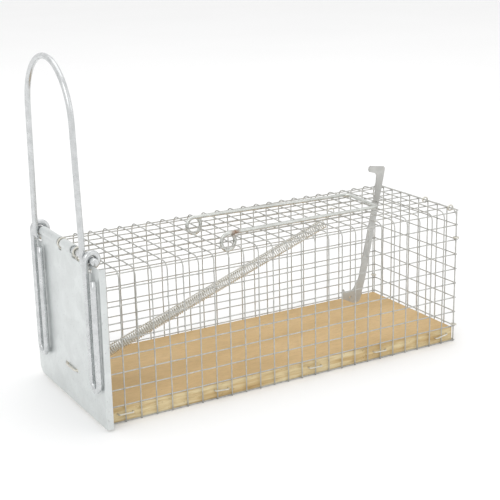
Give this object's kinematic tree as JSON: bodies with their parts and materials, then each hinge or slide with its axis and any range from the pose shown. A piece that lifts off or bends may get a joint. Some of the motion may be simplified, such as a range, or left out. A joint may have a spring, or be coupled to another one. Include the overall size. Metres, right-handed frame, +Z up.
{
  "type": "live catch trap",
  "caption": "Live catch trap: a welded mesh cage on a wooden base with a sprung drop door, bail handle, trigger bail and bait hook.",
  "frame": {"origin": "middle of the cage's length and width, on the underside of the base", "axes": "+X from the door to the rear, +Y to the far side, +Z up"},
  "size_m": [0.3326, 0.136, 0.2641],
  "materials": {
    "wood": "smooth board, bare pine edges",
    "mesh": "galvanised welded mesh",
    "fasteners": "bright zinc wire",
    "rod": "zinc plated",
    "door": "galvanised sheet",
    "handle": "zinc plated wire",
    "spring": "zinc plated spring wire",
    "trigger": "zinc plated wire, a little rust at the eyes",
    "hook": "galvanised strip"
  },
  "bodies": {
    "cage": {"wooden_base": "wood", "roof_mesh": "mesh", "near_side_mesh": "mesh", "far_side_mesh": "mesh", "rear_mesh": "mesh", "near_staples": "fasteners", "far_staples": "fasteners", "roof_clips": "fasteners", "corner_clips": "fasteners", "hinge_rod": "rod", "rod_ties": "fasteners"},
    "door": {"door_plate": "door", "handle": "handle", "spring_link": "fasteners"},
    "spring_upper": {"spring_upper_half": "spring"},
    "spring_lower": {"spring_lower_half": "spring"},
    "trigger": {"trigger_bail": "trigger"},
    "hook": {"bait_hook": "hook"}
  },
  "joints": [
    {"name": "door_hinge", "type": "hinge", "parent": "cage", "child": "door", "pos_m": [-0.16255, 0, 0.124], "axis": [0, 1, 0], "range_deg": [0, 91], "stiffness_Nm_per_rad": 0.2, "springref_deg": -68.75},
    {"name": "spring_swing", "type": "hinge", "parent": "cage", "child": "spring_upper", "pos_m": [0.06985, -0.004, 0.1153], "axis": [0, 1, 0], "range_deg": [-0.05, 19.86]},
    {"name": "spring_stretch", "type": "slide", "parent": "spring_upper", "child": "spring_lower", "axis": [-0.9408, 0, -0.3391], "range_m": [-0.0001, 0.09389]},
    {"name": "trigger_lift", "type": "hinge", "parent": "cage", "child": "trigger", "pos_m": [-0.04445, 0, 0.1153], "axis": [0, -1, 0], "range_deg": [0, 110]},
    {"name": "bait_hook_swing", "type": "hinge", "parent": "cage", "child": "hook", "pos_m": [0.12065, 0.0025, 0.1153], "axis": [0, -1, 0], "range_deg": [-10, 25]}
  ],
  "couplings": [
    {"joint": "spring_swing", "follows": "door_hinge", "ratio": 0.21805},
    {"joint": "spring_stretch", "follows": "door_hinge", "m_per_rad": 0.05899}
  ]
}
